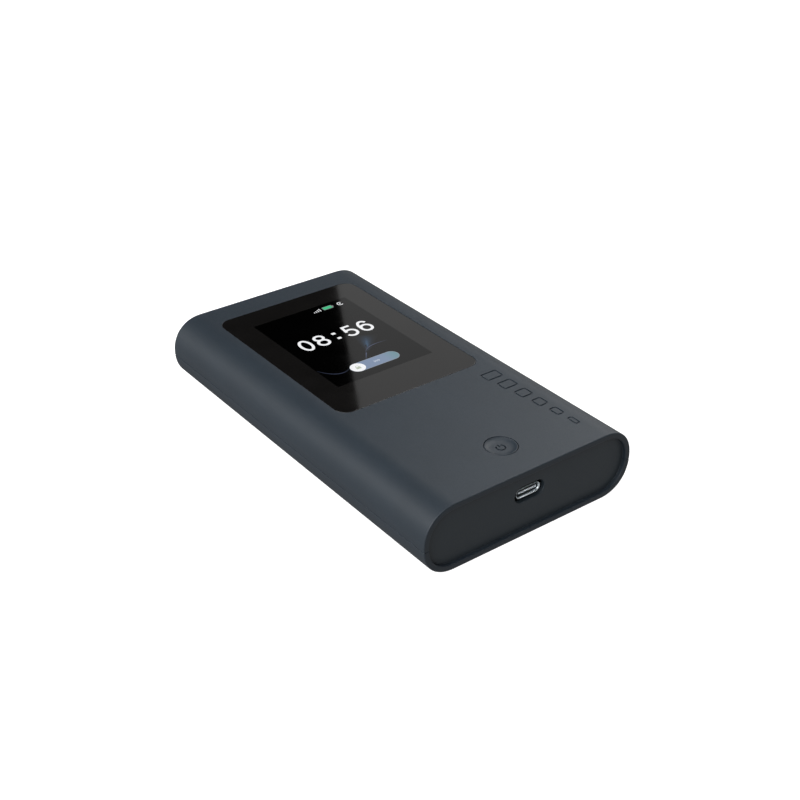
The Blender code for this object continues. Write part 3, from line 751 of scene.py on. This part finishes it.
def make_upper_casing():
    shell = half_casing("upper_casing", UPPER_EDGE_Z)
    low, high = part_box("glass_adhesive")
    width, length = (high.x - low.x - 2 * ADHESIVE_BORDER, high.y - low.y - 2 * ADHESIVE_BORDER)
    ledge = rounded(width + 2 * LEDGE_OVERLAP, length + 2 * LEDGE_OVERLAP, 5 * MM, GLASS_CENTRE.xy)
    join(shell, plate("ledge", ledge, LEDGE_Z, CEILING_Z + INTO_WALL, 0.3 * MM))
    for i in range(4):
        add_screw_post(shell, f"chassis_screw_{i + 1}", "chassis")
    for i in range(2):
        add_screw_post(shell, f"board_screw_{i + 1}", "main_board")
    size = GLASS_HIGH - GLASS_LOW
    pocket = rounded(size.x + 2 * GLASS_GAP, size.y + 2 * GLASS_GAP, GLASS_RADIUS, GLASS_CENTRE.xy, 12)
    cut(shell, flared_cutter("pocket", pocket, CEILING_Z, HEIGHT, 0.14 * MM))
    opening = rounded(width, length, 2 * MM, GLASS_CENTRE.xy)
    cut(shell, plate("window", opening, LEDGE_Z - 1 * MM, HEIGHT + 1 * MM))
    hole = circular(KEY_RADIUS + KEY_GAP, BUTTON_CENTRE.xy)
    cut(shell, flared_cutter("button_hole", hole, LEDGE_Z, HEIGHT, 0.12 * MM))
    sink_motif(shell)
    finished(shell, "body", "main_unit", ["upper_shell"])


LIP_INSET = (2.1 * MM, 3.0 * MM)
LIP_LOW_Z, HOOK_LOW_Z, LIP_STEP_Z = 7.8 * MM, 8.2 * MM, 9.6 * MM
LIP_TOP_Z, HOOK_TOP_Z = 11.6 * MM, 13.3 * MM
HOOK_LENGTH, HOOK_PITCH = 8 * MM, 42 * MM
RIB_SIZE, RIB_PITCH, RIB_HEIGHT = (56 * MM, 1.1 * MM), 18.5 * MM, 0.45 * MM
NOTCH_SIZE, NOTCH_Y, NOTCH_DEPTH = (2.2 * MM, 12 * MM), 54 * MM, 0.9 * MM


def lip_outline(outer_inset, z_low, z_step, z_high, sign):
    """Outline (x, z) of the lip inside the seam, rooted in the cover's wall below z_step."""
    root_inset = WALL - 0.6 * MM
    heights = [z_step + (z_high - z_step) * i / 4 for i in range(5)]
    points = [(side_x(root_inset, z_low), z_low), (side_x(root_inset, z_step), z_step)]
    points += [(side_x(outer_inset, z), z) for z in heights]
    points += [(side_x(LIP_INSET[1], z), z) for z in heights[::-1]]
    points.append((side_x(LIP_INSET[1], z_low + 0.8 * MM), z_low + 0.8 * MM))
    return [(sign * x, z) for x, z in points]


def make_lower_casing():
    cover = half_casing("lower_casing", HEIGHT - LOWER_EDGE_Z)
    for vertex in cover.data.vertices:
        vertex.co.z = HEIGHT - vertex.co.z
    cover.data.flip_normals()
    lip_end = PANEL_HIGH.y + 0.35 * MM
    for sign in (1, -1):
        lip = lip_outline(LIP_INSET[0], LIP_LOW_Z, LIP_STEP_Z, LIP_TOP_Z, sign)
        join(cover, loft("lip", [place(lip, lip_end, "XZ"), place(lip, -lip_end, "XZ")]))
        hook = lip_outline(LIP_INSET[0] + 0.2 * MM, HOOK_LOW_Z, LIP_STEP_Z, HOOK_TOP_Z, sign)
        for i in (-1, 0, 1):
            y = HOOK_PITCH * i
            ends = (y - HOOK_LENGTH / 2, y + HOOK_LENGTH / 2)
            join(cover, loft("hook", [place(hook, end, "XZ") for end in ends]))
    for i in range(-3, 4):
        outline = rounded(*RIB_SIZE, 0.4 * MM, (0, RIB_PITCH * i), 3)
        join(cover, plate("rib", outline, WALL - 0.3 * MM, WALL + RIB_HEIGHT, 0, 0.15 * MM))
    notch = rounded(*NOTCH_SIZE, 0.6 * MM, (HIGH.x, NOTCH_Y))
    cut(cover, plate("notch", notch, LOWER_EDGE_Z - NOTCH_DEPTH, LOWER_EDGE_Z + 1 * MM, 0.4 * MM))
    finished(cover, "body", "back_cover", ["back_cover"])


SOCKET_CUTOUT = (11.0 * MM, 5.2 * MM)


def make_end_plates():
    gap = 0.1 * MM
    outline = slab_ring(WALL + gap)
    centre = (SOCKET_LOW + SOCKET_HIGH) / 2
    front = plate("front_plate", outline, PANEL_HIGH.y, PANEL_LOW.y, 0.1 * MM, 0.1 * MM, "XZ")
    for_plug = rounded(*SOCKET_CUTOUT, SOCKET_CUTOUT[1] / 2, (centre.x, centre.z), 16)
    cut(front, flared_cutter("socket_cutout", for_plug, PANEL_HIGH.y + 1 * MM, PANEL_LOW.y, 0.35 * MM, "XZ"))
    finished(front, "panel", "main_unit", ["front_end_panel"])
    low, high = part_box("rear_end_panel")
    rear = plate("rear_plate", outline, low.y, high.y, 0.1 * MM, 0.25 * MM, "XZ")
    finished(rear, "panel", "main_unit", ["rear_end_panel"])


# ---- glass and what is lit behind it ----
LAYER = 0.012 * MM


def screen_piece(name, outline, layer, material):
    base = SURFACE_Z + LAYER * (layer - 1)
    piece = plate(name, outline, base + 0.2 * LAYER, base + LAYER)
    return finished(piece, material, "main_unit")


def make_glass():
    size = GLASS_HIGH - GLASS_LOW
    outline = rounded(size.x, size.y, GLASS_RADIUS - GLASS_GAP, GLASS_CENTRE.xy, 12)
    pane = plate("glass_pane", outline, GLASS_LOW.z, SURFACE_Z, 0.1 * MM, 0.16 * MM)
    finished(pane, "glass", "main_unit", ["cover_glass"])
    area = rounded(*SCREEN_SIZE, 0.25 * MM, (0, SCREEN_CENTRE_Y), 3)
    screen_piece("lit_area", area, 1, "screen")


def arc(centre, radii, start, end, steps=20):
    """Points along an ellipse, from one angle in degrees to another."""
    angles = [math.radians(start + (end - start) * i / steps) for i in range(steps + 1)]
    return [(centre[0] + radii[0] * math.cos(a), centre[1] + radii[1] * math.sin(a)) for a in angles]


def stroke(path, width):
    """The outline of a line of even width along a path."""
    left, right = [], []
    for i, (x, y) in enumerate(path):
        before, after = path[max(i - 1, 0)], path[min(i + 1, len(path) - 1)]
        arriving = Vector((x - before[0], y - before[1]))
        leaving = Vector((after[0] - x, after[1] - y))
        if not arriving.length:
            arriving = leaving
        if not leaving.length:
            leaving = arriving
        step = (arriving.normalized() + leaving.normalized()).normalized()
        reach = width / 2 / max(0.5, step.dot(leaving.normalized()))
        left.append((x - step.y * reach, y + step.x * reach))
        right.append((x + step.y * reach, y - step.x * reach))
    return left + right[::-1]


def screen_stroke(name, path, width, layer, material):
    outline = stroke(path, width)
    return screen_piece(name, lambda grow: outline, layer, material)


# The clock's digits: each is drawn as lines in a cell one wide and one high
RING_END = 359.8
DIGITS = {
    "0": [arc((0.5, 0.5), (0.5, 0.5), 0, RING_END, 48)],
    "8": [
        arc((0.5, 0.27), (0.5, 0.27), 0, RING_END, 40),
        arc((0.5, 0.77), (0.43, 0.23), 0, RING_END, 40),
    ],
    "5": [
        [(0.94, 1.0), (0.2, 1.0), (0.09, 0.44)],
        [(0.04, 0.49)] + arc((0.47, 0.31), (0.53, 0.31), 132, -158, 28),
    ],
    "6": [
        arc((0.5, 0.31), (0.5, 0.31), 0, RING_END, 40),
        [(0.0, 0.3), (0.0, 0.46)] + arc((0.53, 0.5), (0.53, 0.5), 180, 40, 24),
    ],
}
CLOCK = {"0": (-13.8, -9.25), "8": (-7.95, -3.3), "5": (3.25, 7.95), "6": (9.2, 13.85)}
CLOCK_Y = (24.55 * MM, 31.95 * MM)
DIGIT_LINE = 0.98 * MM
COLON_CENTRES = ((0.05 * MM, 26.25 * MM), (0.05 * MM, 29.8 * MM))
COLON_SIZE = (1.4 * MM, 1.2 * MM)


def make_clock():
    for character, (start, end) in CLOCK.items():
        low = Vector((start * MM, CLOCK_Y[0])) + Vector((DIGIT_LINE, DIGIT_LINE)) / 2
        high = Vector((end * MM, CLOCK_Y[1])) - Vector((DIGIT_LINE, DIGIT_LINE)) / 2
        for i, line in enumerate(DIGITS[character]):
            path = [(low.x + (high.x - low.x) * x, low.y + (high.y - low.y) * y) for x, y in line]
            screen_stroke(f"clock_digit_{character}_{i + 1}", path, DIGIT_LINE, 2 + 0.2 * i, "white_pixels")
    for i, centre in enumerate(COLON_CENTRES):
        screen_piece(f"clock_dot_{i + 1}", rounded(*COLON_SIZE, 0.12 * MM, centre, 3), 2, "white_pixels")


ICON_Y = 46.5 * MM
ICON_LINE = 0.32 * MM


def make_status_icons():
    """A signal strength, a charge and a wireless link, each as a plain generic sign."""
    for i in range(4):
        height = (0.6 + 0.42 * i) * MM
        centre = ((3.4 + 0.85 * i) * MM, ICON_Y - 0.95 * MM + height / 2)
        bar = rounded(ICON_LINE, height, 0.05 * MM, centre, 2)
        screen_piece(f"signal_bar_{i + 1}", bar, 2, "white_pixels")
    battery = rounded(3.9 * MM, 2.1 * MM, 0.4 * MM, (9.1 * MM, ICON_Y), 4)
    charge = rounded(3.3 * MM, 1.6 * MM, 0.25 * MM, (9.0 * MM, ICON_Y), 4)
    tip = rounded(0.35 * MM, 0.9 * MM, 0.1 * MM, (11.25 * MM, ICON_Y), 2)
    screen_piece("charge_outline", battery, 2, "grey_pixels")
    screen_piece("charge_level", charge, 3, "green_pixels")
    screen_piece("charge_tip", tip, 2, "grey_pixels")
    link = (14.2 * MM, ICON_Y)
    ring = arc(link, (0.95 * MM, 0.95 * MM), 40, 320, 24)
    screen_stroke("link_ring", ring, ICON_LINE, 2, "white_pixels")
    screen_piece("link_dot", circular(0.3 * MM, link, 16), 2, "white_pixels")


SLIDER_CENTRE = (0.1 * MM, 6.8 * MM)
SLIDER_SIZE = (18.3 * MM, 5.3 * MM)
KNOB_RADIUS = 2.55 * MM
SLIDER_EDGE = 0.2 * MM
ARROW_REACH = 0.5 * MM


def make_slider():
    """A bar that is slid to unlock the screen: its knob, with a padlock, and three arrows."""
    centre_x, centre_y = SLIDER_CENTRE
    track = rounded(*SLIDER_SIZE, SLIDER_SIZE[1] / 2, SLIDER_CENTRE, 12)
    screen_piece("slider_edge", track, 2, "edge_pixels")
    screen_piece("slider_track", lambda grow: track(-SLIDER_EDGE), 2.4, "slider_pixels")
    knob_x = centre_x - SLIDER_SIZE[0] / 2 + SLIDER_SIZE[1] / 2
    screen_piece("slider_knob", circular(KNOB_RADIUS, (knob_x, centre_y), 48), 3, "white_pixels")
    body = rounded(1.7 * MM, 1.2 * MM, 0.2 * MM, (knob_x, centre_y - 0.4 * MM), 3)
    screen_piece("lock_body", body, 4, "lock_pixels")
    bow = [(knob_x - 0.5 * MM, centre_y + 0.15 * MM)]
    bow += arc((knob_x, centre_y + 0.45 * MM), (0.5 * MM, 0.5 * MM), 180, 0, 12)
    bow += [(knob_x + 0.5 * MM, centre_y + 0.15 * MM)]
    screen_stroke("lock_bow", bow, 0.22 * MM, 4, "lock_pixels")
    for i in range(3):
        x = centre_x + (-0.3 + 0.8 * i) * MM
        arrow = [(x, centre_y - ARROW_REACH), (x + ARROW_REACH, centre_y), (x, centre_y + ARROW_REACH)]
        screen_stroke(f"slider_arrow_{i + 1}", arrow, 0.28 * MM, 3.2, "pale_pixels")


def make_ribbon(name, path, widths, brightness, material, layer):
    """A soft strip of light along a path, brightest along its middle."""
    across = (-1.0, -0.6, -0.25, 0.0, 0.25, 0.6, 1.0)
    levels = (0.0, 0.16, 0.62, 1.0, 0.62, 0.16, 0.0)
    vertices, glow, faces = [], [], []
    last = len(path) - 1
    for i, (x, y) in enumerate(path):
        before, after = path[max(i - 1, 0)], path[min(i + 1, last)]
        step = Vector((after[0] - before[0], after[1] - before[1])).normalized()
        share_along = i / last
        fade = math.sin(math.pi * (0.06 + 0.94 * share_along))
        width = widths[0] + (widths[1] - widths[0]) * share_along
        for share, level in zip(across, levels):
            shift = share * width / 2
            vertices.append((x - step.y * shift, y + step.x * shift, SURFACE_Z + LAYER * layer))
            glow.append(level * fade * brightness)
    size = len(across)
    for row in range(last):
        for i in range(size - 1):
            corner = row * size + i
            faces.append((corner, corner + 1, corner + size + 1, corner + size))
    ribbon = mesh_object(name, vertices, faces)
    attribute = ribbon.data.attributes.new("glow", "FLOAT", "POINT")
    attribute.data.foreach_set("value", glow)
    if ribbon.data.polygons[0].normal.z < 0:
        ribbon.data.flip_normals()
    finished(ribbon, material, "main_unit")


def bent_path(points, steps=32):
    """A smooth curve in millimetres from the first point to the last, led by those between."""
    path = []
    for i in range(steps + 1):
        t = i / steps
        row = [Vector(point) for point in points]
        while len(row) > 1:
            row = [a.lerp(b, t) for a, b in zip(row, row[1:])]
        path.append((row[0].x * MM, row[0].y * MM))
    return path


def make_wallpaper():
    """A wide faint glow, and three fine lines of light, above the slider and beside it."""
    fan = bent_path([(2.2, 13.6), (4.6, 17.0), (8.0, 23.0)])
    make_ribbon("glow_fan", fan, (0.9 * MM, 8.5 * MM), 0.75, "glow", 1.2)
    stem = bent_path([(-1.4, 9.3), (0.9, 12.6), (2.4, 14.4), (4.2, 17.4)])
    make_ribbon("glow_stem", stem, (0.7 * MM, 0.5 * MM), 1.0, "fine_glow", 1.4)
    branch = bent_path([(1.2, 13.1), (3.2, 16.3), (6.5, 16.6), (12.0, 15.8)])
    make_ribbon("glow_branch", branch, (0.7 * MM, 0.6 * MM), 0.9, "fine_glow", 1.6)
    sweep = bent_path([(-18.0, 12.4), (-15.6, 7.0), (-12.0, 5.4), (-8.6, 8.1)])
    make_ribbon("glow_sweep", sweep, (0.6 * MM, 0.7 * MM), 0.62, "fine_glow", 1.4)


# ---- power button ----
KEY_RADIUS, KEY_EDGE = 4.9 * MM, 0.25 * MM
KEY_DISH_DEPTH, KEY_DISH_POWER = 0.55 * MM, 7.0
SYMBOL_DEPTH = 0.42 * MM
SYMBOL_RADII = (1.56 * MM, 1.12 * MM)
SYMBOL_GAP = math.radians(36)  # half of the ring's opening, seen from its centre
SYMBOL_BAR, SYMBOL_BAR_RISE = (0.44 * MM, 1.5 * MM), 0.95 * MM


def key_profile(low_z, high_z, flange_radius):
    """Points (radius, z) of the key: dished top, rounded edge, flange and nub."""
    dish_radius = KEY_RADIUS - KEY_EDGE
    profile = []
    for i in range(1, 19):
        share = i / 18
        profile.append((dish_radius * share, high_z - KEY_DISH_DEPTH * (1 - share ** KEY_DISH_POWER)))
    for i in range(1, 6):
        turn = math.pi / 2 * i / 5
        profile.append((dish_radius + KEY_EDGE * math.sin(turn), high_z - KEY_EDGE * (1 - math.cos(turn))))
    flange_high, flange_low = CEILING_Z - 0.3 * MM, low_z + 0.3 * MM
    nub_radius = 1.5 * MM
    profile += [(KEY_RADIUS, flange_high), (flange_radius, flange_high), (flange_radius, flange_low)]
    return profile + [(nub_radius, flange_low), (nub_radius, low_z)]


def make_power_key():
    low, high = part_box("power_button")
    centre = BUTTON_CENTRE.xy
    rings = [place(circular(r, centre)(), z, "XY") for r, z in key_profile(low.z, high.z, high.x)]
    key = loft("power_key", rings)
    symbol_z = high.z - KEY_DISH_DEPTH - SYMBOL_DEPTH
    sweep = 2 * math.pi - 2 * SYMBOL_GAP
    angles = [math.pi / 2 + SYMBOL_GAP + sweep * i / 40 for i in range(41)]
    outer, inner = SYMBOL_RADII
    ring = [(centre.x + outer * math.cos(a), centre.y + outer * math.sin(a)) for a in angles]
    ring += [(centre.x + inner * math.cos(a), centre.y + inner * math.sin(a)) for a in angles[::-1]]
    cut(key, plate("symbol_ring", lambda grow: ring, symbol_z, high.z))
    bar = rounded(*SYMBOL_BAR, 0.18 * MM, (centre.x, centre.y + SYMBOL_BAR_RISE), 4)
    cut(key, plate("symbol_bar", bar, symbol_z, high.z))
    finished(key, "body", "power_button", ["power_button"])


# ---- USB-C socket ----
SHELL_THICKNESS = 0.3 * MM
MOUTH_FLARE = (0.42 * MM, 0.85 * MM)  # how much the shell's mouth opens out, and over what depth
TONGUE_SIZE = (6.6 * MM, 0.7 * MM)
CONTACT_COUNT = 12
CONTACT_PITCH = 0.5 * MM
CONTACT_SIZE = (0.26 * MM, 0.05 * MM)
CONTACT_REACH = (4.2 * MM, 0.8 * MM)  # from the tongue's tip to the contact's two ends


def socket_centre():
    return (SOCKET_LOW.x + SOCKET_HIGH.x) / 2, (SOCKET_LOW.z + SOCKET_HIGH.z) / 2


def make_socket_shell():
    size = SOCKET_HIGH - SOCKET_LOW
    outline = rounded(size.x, size.z, size.z / 2, socket_centre(), 16)
    rows = [
        place(outline(-0.02 * MM), SOCKET_LOW.y, "XZ"),
        place(outline(0), SOCKET_LOW.y + 0.05 * MM, "XZ"),
        place(outline(0), SOCKET_HIGH.y, "XZ"),
        place(outline(-SHELL_THICKNESS), SOCKET_HIGH.y, "XZ"),
    ]
    opening, depth = MOUTH_FLARE
    rows.append(place(outline(-SHELL_THICKNESS), SOCKET_LOW.y + 2 * depth, "XZ"))
    for i in range(9):
        turn = math.pi / 2 * i / 8
        grow = -opening * math.cos(turn) - 0.04 * MM
        rows.append(place(outline(grow), SOCKET_LOW.y + depth * (1 - math.sin(turn)), "XZ"))
    shell = loft("socket_shell", rows, closed=True)
    finished(shell, "nickel", "main_unit", ["usb_c_shell"])


def make_socket_insert():
    """The plastic block and tongue, the tongue's metal nose, and its contacts."""
    centre = socket_centre()
    low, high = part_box("usb_c_insert")
    block = rounded(high.x - low.x, high.z - low.z, 0.9 * MM, centre, 8)
    insert = plate("socket_insert", block, high.y, high.y - 1.4 * MM, 0.1 * MM, 0.1 * MM, "XZ")
    tongue = rounded(*TONGUE_SIZE, 0.2 * MM, centre, 4)
    join(insert, plate("tongue", tongue, high.y - 1.0 * MM, low.y + 0.6 * MM, 0, 0, "XZ"))
    finished(insert, "inner", "main_unit", ["usb_c_insert"])
    nose = plate("tongue_nose", tongue, low.y + 0.58 * MM, low.y, 0, 0.26 * MM, "XZ", 6)
    finished(nose, "nickel", "main_unit")
    for side, face in (("upper", 1), ("lower", -1)):
        for i in range(CONTACT_COUNT):
            x = centre[0] + CONTACT_PITCH * (i - (CONTACT_COUNT - 1) / 2)
            z = centre[1] + face * (TONGUE_SIZE[1] / 2 + 0.01 * MM)
            outline = rounded(*CONTACT_SIZE, 0.01 * MM, (x, z), 1)
            back, front = (low.y + reach for reach in CONTACT_REACH)
            pad = plate(f"{side}_contact_{i + 1}", outline, back, front, 0, 0, "XZ")
            finished(pad, "gold", "main_unit")


# ---- inner pieces, kept from the frame ----
KEPT = {
    "inner": [
        "chassis", "display_connector", "battery_contact_block",
        "power_switch_plunger", "reset_switch_plunger",
    ],
    "steel": ["power_switch_base", "reset_switch_base", "modem_shield", "radio_shield", "sim_socket"],
    "board": ["main_board"],
    "resin": ["modem_chip", "memory_chip", "wifi_chip", "power_chip", "charging_coil"],
    "pad": ["glass_adhesive", "thermal_pad"],
    "screen": ["display_panel"],
    "card": ["display_backlight", "sim_card"],
    "film": [
        "display_flex", "cellular_antenna_left", "cellular_antenna_right",
        "wifi_antenna_left", "wifi_antenna_right",
    ],
    "gold": [
        "battery_contact_1", "battery_contact_2", "battery_contact_3",
        "cellular_clip_left", "cellular_clip_right", "wifi_clip_left", "wifi_clip_right",
    ],
    "wrap": ["battery_pack"],
}
SCREWS = [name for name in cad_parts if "_screw_" in name]

# How far the edges of each group are rounded
KEPT_EDGES = {
    "inner": 0.2 * MM, "steel": 0.1 * MM, "resin": 0.08 * MM, "pad": 0.1 * MM, "board": 0.06 * MM,
}


def round_edges(obj, width):
    bevel = obj.modifiers.new("edges", "BEVEL")
    bevel.width = width
    bevel.segments = 2
    bevel.limit_method = "ANGLE"
    bevel.angle_limit = math.radians(40)


def dress_inner_pieces():
    groups = dict(KEPT, steel=KEPT["steel"] + SCREWS)
    for material, names in groups.items():
        for name in names:
            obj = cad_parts[name]
            obj.data.materials.clear()
            obj.data.materials.append(MATERIALS[material])
            if material in KEPT_EDGES and name not in SCREWS:
                round_edges(obj, KEPT_EDGES[material])


LABEL_MARGIN = Vector((7 * MM, 9 * MM))
TAPE_WIDTH, TAPE_MARGIN = 9 * MM, 1 * MM
LABEL_PROUD, TAPE_PROUD, PAD_PROUD = 0.05 * MM, 0.03 * MM, 0.04 * MM
INTO_WRAP = 0.1 * MM
CONTACT_PAD_SIZE = (2.6 * MM, 2.4 * MM)


def on_both_faces(name, outline, low_z, high_z, proud, material):
    """A thin layer on the battery's lower and upper face."""
    for side, face_z, outward in (("lower", low_z, -1), ("upper", high_z, 1)):
        inner, outer = face_z - outward * INTO_WRAP, face_z + outward * proud
        finished(plate(f"{name}_{side}", outline, inner, outer), material, "battery")


def make_battery_details():
    """The battery's blank labels, the tape along the two ends of its wrap, and its contact pads."""
    low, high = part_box("battery_pack")
    middle, size = (low + high) / 2, high - low
    label_width = size.x - 2 * LABEL_MARGIN.x
    label_length = size.y - 2 * LABEL_MARGIN.y - TAPE_WIDTH
    label = rounded(label_width, label_length, 1.2 * MM, middle.xy, 6)
    on_both_faces("battery_label", label, low.z, high.z, LABEL_PROUD, "label")
    to_edge = TAPE_WIDTH / 2 + TAPE_MARGIN
    for name, y in (("front", low.y + to_edge), ("rear", high.y - to_edge)):
        tape = rounded(size.x - 1.8 * MM, TAPE_WIDTH, 0.2 * MM, (middle.x, y), 2)
        on_both_faces(f"battery_tape_{name}", tape, low.z, high.z, TAPE_PROUD, "tape")
    for i in (1, 2, 3):
        centre = centre_of(f"battery_contact_{i}")
        outline = rounded(*CONTACT_PAD_SIZE, 0.4 * MM, (centre.x, centre.z), 5)
        pad = plate(f"battery_pad_{i}", outline, low.y + 0.2 * MM, low.y - PAD_PROUD, 0, 0.03 * MM, "XZ")
        finished(pad, "gold", "battery")


make_camera()
MATERIALS = make_materials()
make_studio()
make_upper_casing()
make_lower_casing()
make_end_plates()
make_glass()
make_clock()
make_status_icons()
make_slider()
make_wallpaper()
make_power_key()
make_socket_shell()
make_socket_insert()
dress_inner_pieces()
make_battery_details()
